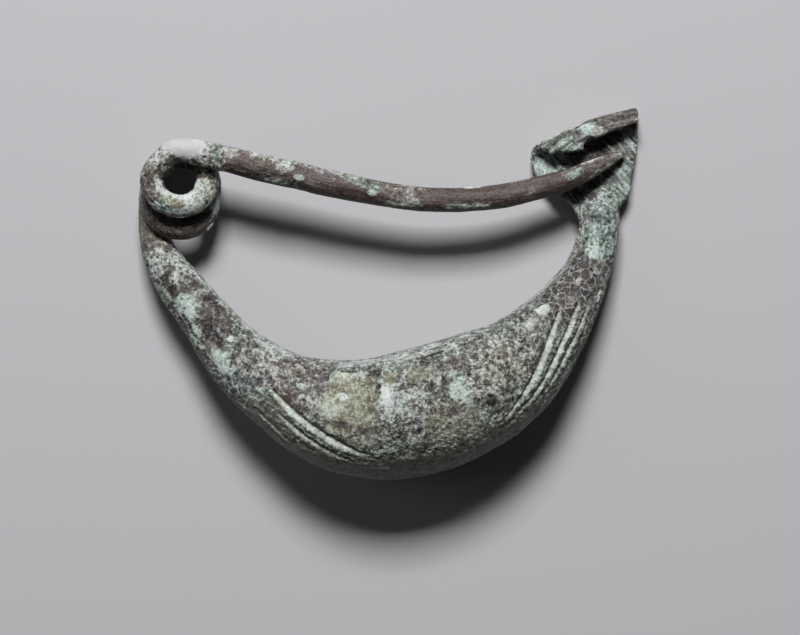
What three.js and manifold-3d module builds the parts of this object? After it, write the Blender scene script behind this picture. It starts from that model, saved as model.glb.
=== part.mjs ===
// A leech-shaped bronze brooch (fibula), made as one piece. A swollen, crescent bow narrows at
// its left end into a wire that coils round twice to make the spring, then runs on as the pin.
// At its right end the bow flattens into a catch-plate, whose far edge is rolled over to catch
// the point of the pin.
//
// Millimetres. The brooch is drawn flat: X runs from the spring to the catch-plate, Y from the
// bow to the pin, and Z is height above the plane of the bow. It is then laid on its side, as it
// rests on a table: on the belly of the bow, the coil and the corner of the catch-plate.
import * as THREE from 'three';
import { mergeVertices } from 'three/addons/utils/BufferGeometryUtils.js';
import Module from 'manifold-3d';

const wasm = await Module();
wasm.setup();

// Bow: centres of its cross-sections from the spring to the catch-plate, each with its
// half-width in the plane of the bow and its half-thickness across it.
const bowStations = [
  { x: -33.1, y: 9.9, z: -0.3, wide: 1.95, thick: 1.85 },
  { x: -31.8, y: 5.4, z: -0.1, wide: 2.45, thick: 2.35 },
  { x: -29.1, y: 1.1, z: 0, wide: 3.1, thick: 3.0 },
  { x: -25.2, y: -3.8, z: 0, wide: 3.5, thick: 3.4 },
  { x: -21.2, y: -8.8, z: 0, wide: 4.4, thick: 4.3 },
  { x: -15.8, y: -13.2, z: 0, wide: 5.5, thick: 5.4 },
  { x: -9.5, y: -16.3, z: 0, wide: 7.15, thick: 7.0 },
  { x: -2.6, y: -17.6, z: 0, wide: 8.3, thick: 8.2 },
  { x: 4.6, y: -16.6, z: 0, wide: 8.75, thick: 8.6 },
  { x: 11.3, y: -14.1, z: 0, wide: 8.35, thick: 8.2 },
  { x: 17.3, y: -10.6, z: 0, wide: 7.1, thick: 7.0 },
  { x: 22.1, y: -5.7, z: 0, wide: 5.4, thick: 5.3 },
  { x: 25.8, y: -0.6, z: 0, wide: 3.95, thick: 3.9 },
  { x: 28.4, y: 4.5, z: 0, wide: 3.0, thick: 2.95 },
  { x: 29.6, y: 9.4, z: 0, wide: 2.72, thick: 2.6 },
  { x: 29.7, y: 12.2, z: 0, wide: 2.75, thick: 1.9 },
  { x: 30.0, y: 15.4, z: 0, wide: 2.6, thick: 0.42 },
];
const bowFlatFrom = 0.62; // where the inner side of the bow turns flatter, in half-widths
const bowFlatRise = 0.8; // how much of the round is left beyond that line
const bowRoundUpTo = 3.5; // half-width up to which the bow is fully round
const bowFlatAbove = 6; // half-width above which its inner side is fully flattened

// Grooves cut slantwise across both faces of the bow, three beside the spring and three and a
// short one beside the catch-plate. Each runs from one place on the bow to another: a place is
// a station, counted from the spring, and the degrees from the outer edge towards the face.
const grooves = [
  { from: [5.1, 77], to: [7.0, 43], wide: 0.95, deep: 0.4 },
  { from: [5.4, 55], to: [6.75, 34], wide: 0.75, deep: 0.3 },
  { from: [5.0, 38], to: [5.9, 27], wide: 0.6, deep: 0.25 },
  { from: [11.46, 94], to: [9.4, 43], wide: 0.9, deep: 0.4 },
  { from: [11.86, 73], to: [9.6, 38], wide: 0.8, deep: 0.35 },
  { from: [11.95, 52], to: [9.9, 33], wide: 0.7, deep: 0.3 },
  { from: [12.5, 40], to: [12.1, 36], wide: 0.5, deep: 0.2 },
];
const grooveSteps = 8;
const grooveEndCut = 0.25; // how far from a point, in radians of a half turn, each end stops

// Spring: a coil that starts at the left end of the bow and climbs away from the table. Its
// first turn hangs lower than the second. The drifts and the tightening are per turn.
const coil = {
  x: -29.2,
  y: 15.5,
  z: -0.4,
  radius: 4.1,
  turns: 2.25,
  pitch: 3.5,
  driftX: 0.1,
  driftY: -0.2,
  tighten: 0.07,
  sag: 2.4,
  squareness: 0.75,
  lastCorner: 0.45,
  wire: 1.55,
  wireAtBow: 1.72,
  stationsPerTurn: 8,
};

// Pin: a wire that leaves the top of the coil, bends down towards the bow and tapers to a point
// just over the catch-plate.
const pinStations = [
  { x: -23.3, y: 17.8, z: 7.4, wide: 1.78, thick: 1.6 },
  { x: -17.8, y: 16.4, z: 7.15, wide: 1.8, thick: 1.7 },
  { x: -12.2, y: 15.25, z: 6.8, wide: 1.88, thick: 1.7 },
  { x: -6.7, y: 14.0, z: 6.45, wide: 1.8, thick: 1.7 },
  { x: -1.1, y: 13.0, z: 6.1, wide: 1.75, thick: 1.65 },
  { x: 4.4, y: 12.3, z: 5.75, wide: 1.68, thick: 1.6 },
  { x: 10.0, y: 12.3, z: 5.4, wide: 1.7, thick: 1.6 },
  { x: 15.6, y: 12.9, z: 5.05, wide: 1.66, thick: 1.55 },
  { x: 21.2, y: 14.3, z: 4.6, wide: 1.6, thick: 1.5 },
  { x: 26.0, y: 15.9, z: 4.0, wide: 1.45, thick: 1.35 },
  { x: 29.7, y: 18.0, z: 2.8, wide: 1.08, thick: 1.0 },
  { x: 32.2, y: 19.55, z: 1.85, wide: 0.66, thick: 0.6 },
  { x: 33.2, y: 20.05, z: 1.5, wide: 0.3, thick: 0.3 },
];
const wireSides = 24;
const longestStep = 2.0; // between two cross-sections of the bow, coil or pin

// Catch-plate: a sheet drawn unrolled, along and across the axis of its rolled edge, then bent.
// Its two side edges run from the neck of the bow out to the top of the roll, and the lip
// reaches on from there. Part of the lip is broken away, which leaves a tongue.
const catchPlate = {
  turn: THREE.MathUtils.degToRad(20.8),
  thickness: 0.9,
  rollStart: 10.3,
  rollBulge: 0.6,
  rollRadius: 1.65,
  leftEdge: [
    [28.9, 0.3],
    [28.7, 3.0],
    [26.8, 5.4],
    [25.8, 8.2],
    [25.8, 10.8],
    [27.0, 13.4],
    [28.0, 15.5],
  ],
  rightEdge: [
    [35.0, 0.3],
    [36.8, 1.5],
    [38.0, 3.6],
    [39.6, 6.2],
    [41.2, 9.2],
    [42.1, 12.4],
    [41.4, 15.5],
  ],
  lipFrom: 0.8, // of the way from the neck to the top of the roll
  lipReach: 1.45,
  tongueReach: [0.1, 2.3], // at the left end and at the break
  breakStart: 0.33, // of the way along the lip
  breakEnd: 0.39,
  piecesAlong: 14,
  piecesAcross: 20,
};

// The pose on the table, and how much is worn flat where the brooch touches it.
const lieTilt = THREE.MathUtils.degToRad(-11.6);
const wornFlat = 0.2;
const table = { side: 200, depth: 20 };

const { clamp, degToRad, lerp, mapLinear, smoothstep } = THREE.MathUtils;
const upwards = new THREE.Vector3(0, 0, 1);

function toSolid(geometry) {
  const bare = geometry.clone();
  bare.deleteAttribute('normal');
  bare.deleteAttribute('uv');
  const merged = mergeVertices(bare, 1e-5);
  const mesh = new wasm.Mesh({
    numProp: 3,
    vertProperties: new Float32Array(merged.attributes.position.array),
    triVerts: new Uint32Array(merged.index.array),
  });
  return new wasm.Manifold(mesh);
}

function toGeometry(solid) {
  const mesh = solid.getMesh();
  const geometry = new THREE.BufferGeometry();
  geometry.setAttribute('position', new THREE.BufferAttribute(mesh.vertProperties, 3));
  geometry.setIndex(new THREE.BufferAttribute(mesh.triVerts, 1));
  geometry.computeVertexNormals();
  return geometry;
}

function signedPower(value, power) {
  return Math.sign(value) * Math.abs(value) ** power;
}

// Moves the rings of a cylinder to the given cross-sections: each has a centre, the two
// directions that it spreads in, and the half-width and half-thickness along them.
function skin(rings, sides, outline) {
  const geometry = new THREE.CylinderGeometry(1, 1, 1, sides, rings.length - 1);
  const position = geometry.attributes.position;
  const point = new THREE.Vector3();
  for (let i = 0; i < position.count; i += 1) {
    const ring = rings[Math.round((position.getY(i) + 0.5) * (rings.length - 1))];
    const spread = outline(position.getX(i), position.getZ(i), ring);
    point.copy(ring.centre);
    point.addScaledVector(ring.side, spread.side * ring.wide);
    point.addScaledVector(ring.up, spread.up * ring.thick);
    position.setXYZ(i, point.x, point.y, point.z);
  }
  return geometry;
}

function roundOutline(side, up) {
  return { side, up };
}

// The swollen part of the bow is a little flatter on its inner side, between two soft corners.
function bowOutline(side, up, ring) {
  const rise = 1 - ring.swell * (1 - bowFlatRise);
  const inward = Math.max(0, -side - bowFlatFrom) * (1 - rise);
  const inmost = (1 - bowFlatFrom) * (1 - rise);
  return { side: ((side + inward + 1 - inmost) / (2 - inmost)) * 2 - 1, up };
}

// A smooth line through the stations, and the size of the wire along it.
function smoothLine(stations) {
  const centres = stations.map((s) => new THREE.Vector3(s.x, s.y, s.z));
  const sizes = stations.map((s) => new THREE.Vector3(s.wide, s.thick, 0));
  return {
    path: new THREE.CatmullRomCurve3(centres, false, 'catmullrom', 0.5),
    size: new THREE.CatmullRomCurve3(sizes, false, 'catmullrom', 0.5),
  };
}

// One cross-section of the line. The side of a section of the bow is its outer side, away from
// the pin, and swell says how far the section has grown from thin and round to full.
function ringAt(line, t) {
  const along = line.path.getTangent(t);
  const side = along.clone().cross(upwards).normalize();
  const up = side.clone().cross(along).normalize();
  const { x: wide, y: thick } = line.size.getPoint(t);
  const swell = smoothstep(wide, bowRoundUpTo, bowFlatAbove);
  return { centre: line.path.getPoint(t), side, up, wide, thick, swell };
}

function ringsAlong(stations) {
  const line = smoothLine(stations);
  const spans = stations.length - 1;
  const rings = [];
  for (let span = 0; span < spans; span += 1) {
    const length = line.path.points[span].distanceTo(line.path.points[span + 1]);
    const steps = Math.ceil(length / longestStep);
    for (let step = 0; step < steps; step += 1) {
      rings.push(ringAt(line, (span + step / steps) / spans));
    }
  }
  rings.push(ringAt(line, 1));
  return rings;
}

// The coil from the end of the bow to the start of the pin. Its first turn starts at the left.
function coilStations() {
  const start = { x: coil.x - coil.radius, y: coil.y, z: coil.z };
  const stations = [{ ...start, wide: coil.wireAtBow, thick: coil.wireAtBow }];
  const count = Math.round(coil.turns * coil.stationsPerTurn);
  for (let i = 1; i <= count; i += 1) {
    const turn = i / coil.stationsPerTurn;
    const angle = turn * 2 * Math.PI;
    const hanging = turn > 0.5 && turn < 1;
    const corner = turn > 2 ? coil.lastCorner * Math.sin(angle * 2) : 0;
    const radius = coil.radius - coil.tighten * turn * turn - corner;
    const drop = hanging ? radius + coil.sag : radius;
    const power = hanging ? coil.squareness : 1;
    stations.push({
      x: coil.x + coil.driftX * turn - radius * signedPower(Math.cos(angle), power),
      y: coil.y + coil.driftY * turn + drop * signedPower(Math.sin(angle), power),
      z: coil.z + coil.pitch * turn,
      wide: coil.wire,
      thick: coil.wire,
    });
  }
  return stations;
}

// Pin, coil and bow are one wire, drawn from the point of the pin to the neck.
function makeWire() {
  const fromTip = [...coilStations(), ...pinStations].reverse();
  return toSolid(skin(ringsAlong([...fromTip, ...bowStations]), wireSides, bowOutline));
}

function pointOnBow(line, station, degrees) {
  const ring = ringAt(line, station / (bowStations.length - 1));
  const angle = degToRad(degrees);
  const spread = bowOutline(Math.cos(angle), Math.sin(angle), ring);
  const point = ring.centre.clone();
  point.addScaledVector(ring.side, spread.side * ring.wide);
  return point.addScaledVector(ring.up, spread.up * ring.thick);
}

// A blade with a diamond section, half sunk in the bow and narrower at its ends. Face is 1 for
// the upper face of the bow and -1 for the lower.
function grooveBlade(groove, face) {
  const line = smoothLine(bowStations);
  const place = (f, turned) => {
    const station = lerp(groove.from[0], groove.to[0], f);
    const degrees = lerp(groove.from[1], groove.to[1], f);
    return pointOnBow(line, station, face * (degrees + turned));
  };
  const rings = [];
  for (let i = 0; i <= grooveSteps; i += 1) {
    const f = i / grooveSteps;
    const along = place(f + 0.01, 0).sub(place(f - 0.01, 0)).normalize();
    const around = place(f, 1).sub(place(f, -1)).normalize();
    const up = along.clone().cross(around).normalize();
    const side = along.clone().cross(up).normalize();
    const fullness = Math.sin(lerp(grooveEndCut, Math.PI - grooveEndCut, f)) ** 0.5;
    const wide = (groove.wide / 2) * fullness;
    rings.push({ centre: place(f, 0), side, up, wide, thick: groove.deep * fullness });
  }
  return toSolid(skin(rings, 4, roundOutline));
}

function cutGrooves(solid) {
  let cut = solid;
  for (const groove of grooves) {
    for (const face of [1, -1]) {
      cut = cut.subtract(grooveBlade(groove, face));
    }
  }
  return cut;
}

// Bends a point of the unrolled sheet round the roll. Lift is its height off the middle of the
// sheet, towards the inside of the roll.
function bendSheet(along, across, lift, rollStart) {
  const radius = catchPlate.rollRadius;
  const angle = clamp((across - rollStart) / radius, 0, Math.PI);
  const beyond = Math.max(0, across - rollStart - Math.PI * radius);
  const reach = Math.min(across, rollStart) - beyond + (radius - lift) * Math.sin(angle);
  const height = radius - (radius - lift) * Math.cos(angle);
  return new THREE.Vector3(along, reach, height).applyAxisAngle(upwards, catchPlate.turn);
}

// How far the free edge of the lip reaches past the top of the roll.
function lipReachAt(u) {
  const { breakStart, breakEnd, tongueReach, lipReach } = catchPlate;
  const tongue = mapLinear(u, 0, breakStart, ...tongueReach);
  const whole = lipReach * (1 - u ** 4);
  return lerp(tongue, whole, smoothstep(u, breakStart, breakEnd));
}

function makeCatchPlate() {
  const [left, right] = [catchPlate.leftEdge, catchPlate.rightEdge].map(
    (edge) => new THREE.SplineCurve(edge.map((point) => new THREE.Vector2(...point))),
  );
  const { piecesAlong, piecesAcross } = catchPlate;
  const geometry = new THREE.BoxGeometry(1, 1, 1, piecesAlong, piecesAcross, 1);
  const position = geometry.attributes.position;
  for (let i = 0; i < position.count; i += 1) {
    const u = position.getX(i) + 0.5;
    const v = position.getY(i) + 0.5;
    const flat = left.getPoint(v).lerp(right.getPoint(v), u);
    const across = flat.y + lipReachAt(u) * smoothstep(v, catchPlate.lipFrom, 1);
    const lift = position.getZ(i) * catchPlate.thickness;
    const rollStart = catchPlate.rollStart + catchPlate.rollBulge * Math.sin(u * Math.PI);
    const bent = bendSheet(flat.x, across, lift, rollStart);
    position.setXYZ(i, bent.x, bent.y, bent.z);
  }
  return toSolid(geometry);
}

// Tilts the brooch onto the table, centres it, and wears flats where it touches.
function layDown(solid) {
  const geometry = toGeometry(solid);
  geometry.rotateX(lieTilt);
  geometry.computeBoundingBox();
  const middle = geometry.boundingBox.getCenter(new THREE.Vector3());
  geometry.translate(-middle.x, -middle.y, -geometry.boundingBox.min.z - wornFlat);
  const slab = new THREE.BoxGeometry(table.side, table.side, table.depth);
  slab.translate(0, 0, -table.depth / 2);
  return toSolid(geometry).subtract(toSolid(slab));
}

const bronze = new THREE.MeshStandardMaterial({ color: 0x77806e, roughness: 0.75, metalness: 0.3 });
const wholeBrooch = cutGrooves(makeWire()).add(makeCatchPlate());
const brooch = new THREE.Mesh(toGeometry(layDown(wholeBrooch)), bronze);
brooch.name = 'brooch';

const group = new THREE.Group();
group.add(brooch);

export default group;
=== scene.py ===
import math

import bpy
import numpy as np
from mathutils import Matrix, Vector


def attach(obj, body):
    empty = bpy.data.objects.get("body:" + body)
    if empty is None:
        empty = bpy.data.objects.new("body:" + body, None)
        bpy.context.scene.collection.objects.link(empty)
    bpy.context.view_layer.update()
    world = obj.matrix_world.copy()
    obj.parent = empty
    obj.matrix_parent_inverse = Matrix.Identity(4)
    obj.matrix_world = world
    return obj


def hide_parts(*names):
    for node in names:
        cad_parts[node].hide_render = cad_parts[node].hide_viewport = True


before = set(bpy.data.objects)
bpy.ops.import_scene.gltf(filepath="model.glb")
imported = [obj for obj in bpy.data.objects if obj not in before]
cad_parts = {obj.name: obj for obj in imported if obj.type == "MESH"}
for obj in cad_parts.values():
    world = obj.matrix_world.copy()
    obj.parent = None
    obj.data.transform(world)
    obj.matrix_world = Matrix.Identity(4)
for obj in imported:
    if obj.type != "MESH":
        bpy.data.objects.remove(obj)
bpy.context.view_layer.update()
print("frame loaded")

# The brooch is made lying flat, in millimetres: X runs from the spring to the catch-plate, Y from
# the bow to the pin, Z up from the plane of the bow. Laying it on the table comes last.

# one line per cross-section: x, y, z, half-width in the plane of the bow, half-thickness across it
bow = {
    "stations": [
        (-33.1, 9.9, -0.3, 1.95, 1.85),
        (-31.8, 5.4, -0.1, 2.45, 2.35),
        (-29.1, 1.1, 0.0, 3.1, 3.0),
        (-25.2, -3.8, 0.0, 3.5, 3.4),
        (-21.2, -8.8, 0.0, 4.4, 4.3),
        (-15.8, -13.2, 0.0, 5.5, 5.4),
        (-9.5, -16.3, 0.0, 7.15, 7.0),
        (-2.6, -17.6, 0.0, 8.3, 8.2),
        (4.6, -16.6, 0.0, 8.75, 8.6),
        (11.3, -14.1, 0.0, 8.35, 8.2),
        (17.3, -10.6, 0.0, 7.1, 7.0),
        (22.1, -5.7, 0.0, 5.4, 5.3),
        (25.8, -0.6, 0.0, 3.95, 3.9),
        (28.4, 4.5, 0.0, 3.0, 2.95),
        (29.6, 9.4, 0.0, 2.72, 2.6),
        (29.7, 12.2, 0.0, 2.75, 1.9),
        (30.0, 15.4, 0.0, 2.6, 0.42),
    ],
    "flatFrom": 0.62,    # where the inner side turns flatter, in half-widths
    "flatRise": 0.8,     # how much of the round is left beyond that
    "roundUpTo": 3.5,    # half-width up to which it is fully round
    "flatAbove": 6.0,
}

coil = {
    "x": -29.2, "y": 15.5, "z": -0.4,
    "radius": 4.1,
    "turns": 2.25,
    "pitch": 3.5,
    "driftX": 0.1, "driftY": -0.2, "tighten": 0.07,    # per turn
    "sag": 2.4,          # the first turn hangs lower than the second
    "squareness": 0.75,
    "lastCorner": 0.45,
    "wire": 1.55,
    "wireAtBow": 1.72,
    "stationsPerTurn": 8,
}

pin = {
    "stations": [
        (-23.3, 17.8, 7.4, 1.78, 1.6),
        (-17.8, 16.4, 7.15, 1.8, 1.7),
        (-12.2, 15.25, 6.8, 1.88, 1.7),
        (-6.7, 14.0, 6.45, 1.8, 1.7),
        (-1.1, 13.0, 6.1, 1.75, 1.65),
        (4.4, 12.3, 5.75, 1.68, 1.6),
        (10.0, 12.3, 5.4, 1.7, 1.6),
        (15.6, 12.9, 5.05, 1.66, 1.55),
        (21.2, 14.3, 4.6, 1.6, 1.5),
        (26.0, 15.9, 4.0, 1.45, 1.35),
        (29.7, 18.0, 2.8, 1.08, 1.0),
        (32.2, 19.55, 1.85, 0.66, 0.6),
        (33.2, 20.05, 1.5, 0.3, 0.3),
    ],
}

sweep = {
    "sides": 160,
    "step": 0.3,
    "resolution": 24,
}

catchPlate = {
    "turn": math.radians(20.8),
    "thickness": 0.9,
    "rollStart": 10.3,
    "rollBulge": 0.6,
    "rollRadius": 1.65,
    "leftEdge": [
        (28.9, 0.3), (28.7, 3.0), (26.8, 5.4), (25.8, 8.2), (25.8, 10.8), (27.0, 13.4), (28.0, 15.5),
    ],
    "rightEdge": [
        (35.0, 0.3), (36.8, 1.5), (38.0, 3.6), (39.6, 6.2), (41.2, 9.2), (42.1, 12.4), (41.4, 15.5),
    ],
    "lipFrom": 0.8,      # of the way from the neck to the top of the roll
    "lipReach": 1.45,
    "tongueReach": (0.1, 2.3),    # at the left end and at the break
    "rollScratches": 12.6,        # mm out from the neck, where the scratches turn to follow the roll
    "breakStart": 0.33,
    "breakEnd": 0.39,
    "across": 90,        # pieces of the sheet, along the roll and away from the neck
    "outward": 130,
}

skin = {
    "voxel": 0.17,
    "smoothing": 3,
    "triangles": 190000,
}

lying = {
    "tilt": math.radians(-11.6),
    "wornFlat": 0.2,
}


# ---- node trees

class Flow:
    # a value running through a node tree, so that sums can be written as sums
    def __init__(self, tree, socket):
        self.tree = tree
        self.socket = socket

    def maths(self, operation, *others, clamp=False):
        node = addNode(self.tree, "ShaderNodeMath", operation=operation, use_clamp=clamp)
        for socket, value in zip(node.inputs, (self, *others)):
            plug(self.tree, socket, value)
        return Flow(self.tree, node.outputs[0])

    def vector(self, operation, *others):
        node = addNode(self.tree, "ShaderNodeVectorMath", operation=operation)
        sockets = [s for s in node.inputs if s.enabled]
        for socket, value in zip(sockets, (self, *others)):
            plug(self.tree, socket, value)
        return Flow(self.tree, next(s for s in node.outputs if s.enabled))

    def __add__(self, other):
        return self.maths("ADD", other)

    def __sub__(self, other):
        return self.maths("SUBTRACT", other)

    def __rsub__(self, other):
        return (self * -1.0) + other

    def __mul__(self, other):
        return self.maths("MULTIPLY", other)

    def __truediv__(self, other):
        return self.maths("DIVIDE", other)

    def between(self, low, high, smooth=True):
        # 0 up to low and 1 from high on
        kind = "SMOOTHSTEP" if smooth else "LINEAR"
        node = addNode(self.tree, "ShaderNodeMapRange", interpolation_type=kind)
        for name, value in (("Value", self), ("From Min", low), ("From Max", high)):
            plug(self.tree, node.inputs[name], value)
        return Flow(self.tree, node.outputs[0])


def plug(tree, socket, value):
    if isinstance(value, Flow):
        value = value.socket
    if isinstance(value, bpy.types.NodeSocket):
        tree.links.new(value, socket)
    else:
        socket.default_value = value


def addNode(tree, kind, inputs=None, **settings):
    node = tree.nodes.new(kind)
    for name, value in settings.items():
        setattr(node, name, value)
    for key, value in (inputs or {}).items():
        plug(tree, node.inputs[key], value)
    return node


def newTree(name, **inputs):
    # a geometry tree with named inputs; gives the tree, its incoming geometry and its inputs
    tree = bpy.data.node_groups.new(name, "GeometryNodeTree")
    tree.interface.new_socket("Geometry", in_out="INPUT", socket_type="NodeSocketGeometry")
    for label, kind in inputs.items():
        tree.interface.new_socket(label, in_out="INPUT", socket_type="NodeSocket" + kind)
    tree.interface.new_socket("Geometry", in_out="OUTPUT", socket_type="NodeSocketGeometry")
    start = addNode(tree, "NodeGroupInput")
    return tree, start.outputs["Geometry"], {k: Flow(tree, start.outputs[k]) for k in inputs}


def endTree(tree, geometry, material):
    real = addNode(tree, "GeometryNodeRealizeInstances", {"Geometry": geometry})
    painted = addNode(tree, "GeometryNodeSetMaterial", {"Geometry": real.outputs[0], "Material": material})
    end = addNode(tree, "NodeGroupOutput")
    tree.links.new(painted.outputs[0], end.inputs[0])


def store(tree, geometry, name, value, kind="FLOAT"):
    node = addNode(tree, "GeometryNodeStoreNamedAttribute", data_type=kind, domain="POINT")
    for key, given in (("Geometry", geometry), ("Name", name), ("Value", value)):
        plug(tree, node.inputs[key], given)
    return node.outputs[0]


def named(tree, name, kind="FLOAT"):
    node = addNode(tree, "GeometryNodeInputNamedAttribute", {"Name": name}, data_type=kind)
    return Flow(tree, node.outputs[0])


def plainMesh(source):
    graph = bpy.context.evaluated_depsgraph_get()
    return bpy.data.meshes.new_from_object(
        source.evaluated_get(graph), preserve_all_data_layers=True, depsgraph=graph)


def runTree(source, tree, **values):
    # the tree's result on the source, as a plain mesh
    modifier = source.modifiers.new(tree.name, "NODES")
    modifier.node_group = tree
    for item in tree.interface.items_tree:
        if item.item_type == "SOCKET" and item.in_out == "INPUT" and item.name in values:
            modifier[item.identifier] = values[item.name]
    source.update_tag()
    made = plainMesh(source)
    source.modifiers.remove(modifier)
    return made


# ---- meshes and their attributes

def newObject(name, mesh):
    made = bpy.data.objects.new(name, mesh)
    bpy.context.scene.collection.objects.link(made)
    return made


def discard(*objects):
    for each in objects:
        mesh = each.data
        bpy.data.objects.remove(each)
        bpy.data.meshes.remove(mesh)


def newMesh(name, points, edges=(), faces=()):
    mesh = bpy.data.meshes.new(name)
    mesh.from_pydata(np.asarray(points).tolist(), edges, faces)
    return mesh


def setAttribute(mesh, name, values):
    kind = "FLOAT_VECTOR" if np.ndim(values) == 2 else "FLOAT"
    layer = mesh.attributes.get(name) or mesh.attributes.new(name, kind, "POINT")
    layer.data.foreach_set("vector" if kind == "FLOAT_VECTOR" else "value", np.ravel(values).astype(np.float32))


def getAttribute(mesh, name):
    layer = mesh.attributes[name]
    wide = 3 if layer.data_type == "FLOAT_VECTOR" else 1
    values = np.empty(len(mesh.vertices) * wide, np.float32)
    layer.data.foreach_get("vector" if wide == 3 else "value", values)
    return values.reshape(-1, 3) if wide == 3 else values


def catmullRom(points, t, open=False):
    # smooth line through the points; t counts them from 0, and open ends run on straight
    points = np.asarray(points, float)
    first, last = (2 * points[0] - points[1], 2 * points[-1] - points[-2]) if open else (points[0], points[-1])
    padded = np.vstack([first, points, last])
    t = np.clip(np.atleast_1d(t), 0, len(points) - 1)
    i = np.minimum(t.astype(int), len(points) - 2)
    f = (t - i)[:, None]
    a, b, c, d = (padded[i + k] for k in range(4))
    return 0.5 * (2 * b + (c - a) * f + (2 * a - 5 * b + 4 * c - d) * f**2 + (3 * b - a - 3 * c + d) * f**3)


# ---- the wire: pin, coil and bow in one, from the point of the pin to the neck

def coilStations():
    rows = [(coil["x"] - coil["radius"], coil["y"], coil["z"], coil["wireAtBow"], coil["wireAtBow"])]
    for i in range(1, round(coil["turns"] * coil["stationsPerTurn"]) + 1):
        turn = i / coil["stationsPerTurn"]
        angle = turn * 2 * math.pi
        hanging = 0.5 < turn < 1
        corner = coil["lastCorner"] * math.sin(angle * 2) if turn > 2 else 0
        radius = coil["radius"] - coil["tighten"] * turn**2 - corner
        drop = radius + coil["sag"] if hanging else radius
        power = coil["squareness"] if hanging else 1
        across, down = (math.copysign(abs(v) ** power, v) for v in (math.cos(angle), math.sin(angle)))
        rows.append((
            coil["x"] + coil["driftX"] * turn - radius * across,
            coil["y"] + coil["driftY"] * turn + drop * down,
            coil["z"] + coil["pitch"] * turn,
            coil["wire"],
            coil["wire"],
        ))
    return rows


def sweepTree(material):
    # a wire drawn smoothly through its stations, each with its own width and thickness
    tree, line, given = newTree(
        "sweptWire", Sides="Int", Step="Float", Resolution="Int",
        FlatFrom="Float", FlatRise="Float", RoundUpTo="Float", FlatAbove="Float")
    curve = addNode(tree, "GeometryNodeMeshToCurve", {"Mesh": line})
    smooth = addNode(tree, "GeometryNodeCurveSplineType", {"Curve": curve.outputs[0]}, spline_type="CATMULL_ROM")
    fine = addNode(tree, "GeometryNodeSetSplineResolution",
                   {"Geometry": smooth.outputs[0], "Resolution": given["Resolution"]})
    even = addNode(tree, "GeometryNodeResampleCurve", mode="LENGTH")
    plug(tree, even.inputs["Curve"], fine.outputs[0])
    plug(tree, even.inputs["Length"], given["Step"])

    # every section spreads outwards, in the plane of the bow, and upwards from it
    along = Flow(tree, addNode(tree, "GeometryNodeInputTangent").outputs[0])
    side = along.vector("CROSS_PRODUCT", (0, 0, 1)).vector("NORMALIZE")
    up = side.vector("CROSS_PRODUCT", along).vector("NORMALIZE")
    centre = Flow(tree, addNode(tree, "GeometryNodeInputPosition").outputs[0])
    length = Flow(tree, addNode(tree, "GeometryNodeSplineParameter").outputs["Length"])
    carried = even.outputs[0]
    for name, value in (("centre", centre), ("side", side), ("up", up)):
        carried = store(tree, carried, name, value, "FLOAT_VECTOR")
    carried = store(tree, carried, "length", length)

    circle = addNode(tree, "GeometryNodeCurvePrimitiveCircle", {"Resolution": given["Sides"], "Radius": 1.0})
    place = Flow(tree, addNode(tree, "GeometryNodeInputPosition").outputs[0])
    profile = store(tree, circle.outputs[0], "around", place, "FLOAT_VECTOR")
    tube = addNode(tree, "GeometryNodeCurveToMesh",
                   {"Curve": carried, "Profile Curve": profile, "Fill Caps": True})

    # the swollen part is a little flatter on its inner side
    around = addNode(tree, "ShaderNodeSeparateXYZ", {"Vector": named(tree, "around", "FLOAT_VECTOR")})
    cos, sin = Flow(tree, around.outputs[0]), Flow(tree, around.outputs[1])
    wide, thick = named(tree, "wide"), named(tree, "thick")
    swell = wide.between(given["RoundUpTo"], given["FlatAbove"])
    lost = swell * (1.0 - given["FlatRise"])
    inward = (cos * -1.0 - given["FlatFrom"]).maths("MAXIMUM", 0.0) * lost
    inmost = (1.0 - given["FlatFrom"]) * lost
    outward = ((cos + inward + 1.0 - inmost) / (2.0 - inmost)) * 2.0 - 1.0
    reachSide = named(tree, "side", "FLOAT_VECTOR").vector("SCALE", outward * wide)
    reachUp = named(tree, "up", "FLOAT_VECTOR").vector("SCALE", sin * thick)
    where = named(tree, "centre", "FLOAT_VECTOR").vector("ADD", reachSide).vector("ADD", reachUp)
    straight = addNode(tree, "ShaderNodeCombineXYZ",
                       {"X": named(tree, "length"), "Y": outward * wide, "Z": sin * thick})
    placed = addNode(tree, "GeometryNodeSetPosition", {"Geometry": tube.outputs[0], "Position": where})
    endTree(tree, store(tree, placed.outputs[0], "straight", straight.outputs[0], "FLOAT_VECTOR"), material)
    return tree


def makeWire(material):
    rows = np.array((coilStations() + pin["stations"])[::-1] + bow["stations"])
    count = len(rows)
    line = newObject("wireLine", newMesh("wireLine", rows[:, :3], [(i, i + 1) for i in range(count - 1)]))
    setAttribute(line.data, "wide", rows[:, 3])
    setAttribute(line.data, "thick", rows[:, 4])
    setAttribute(line.data, "station", np.arange(count) - (count - len(bow["stations"])))
    wire = runTree(
        line, sweepTree(material), Sides=sweep["sides"], Step=sweep["step"], Resolution=sweep["resolution"],
        FlatFrom=bow["flatFrom"], FlatRise=bow["flatRise"], RoundUpTo=bow["roundUpTo"],
        FlatAbove=bow["flatAbove"])
    discard(line)
    return newObject("wire", wire)


# ---- the catch-plate: a sheet drawn unrolled, then bent round its roll

def smoothstep(value, low, high):
    f = np.clip((value - low) / (high - low), 0, 1)
    return f * f * (3 - 2 * f)


def lipReachAt(u):
    plate = catchPlate
    start, stop = plate["tongueReach"]
    tongue = start + (stop - start) * u / plate["breakStart"]
    whole = plate["lipReach"] * (1 - u**4)
    f = smoothstep(u, plate["breakStart"], plate["breakEnd"])
    return tongue + (whole - tongue) * f


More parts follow.
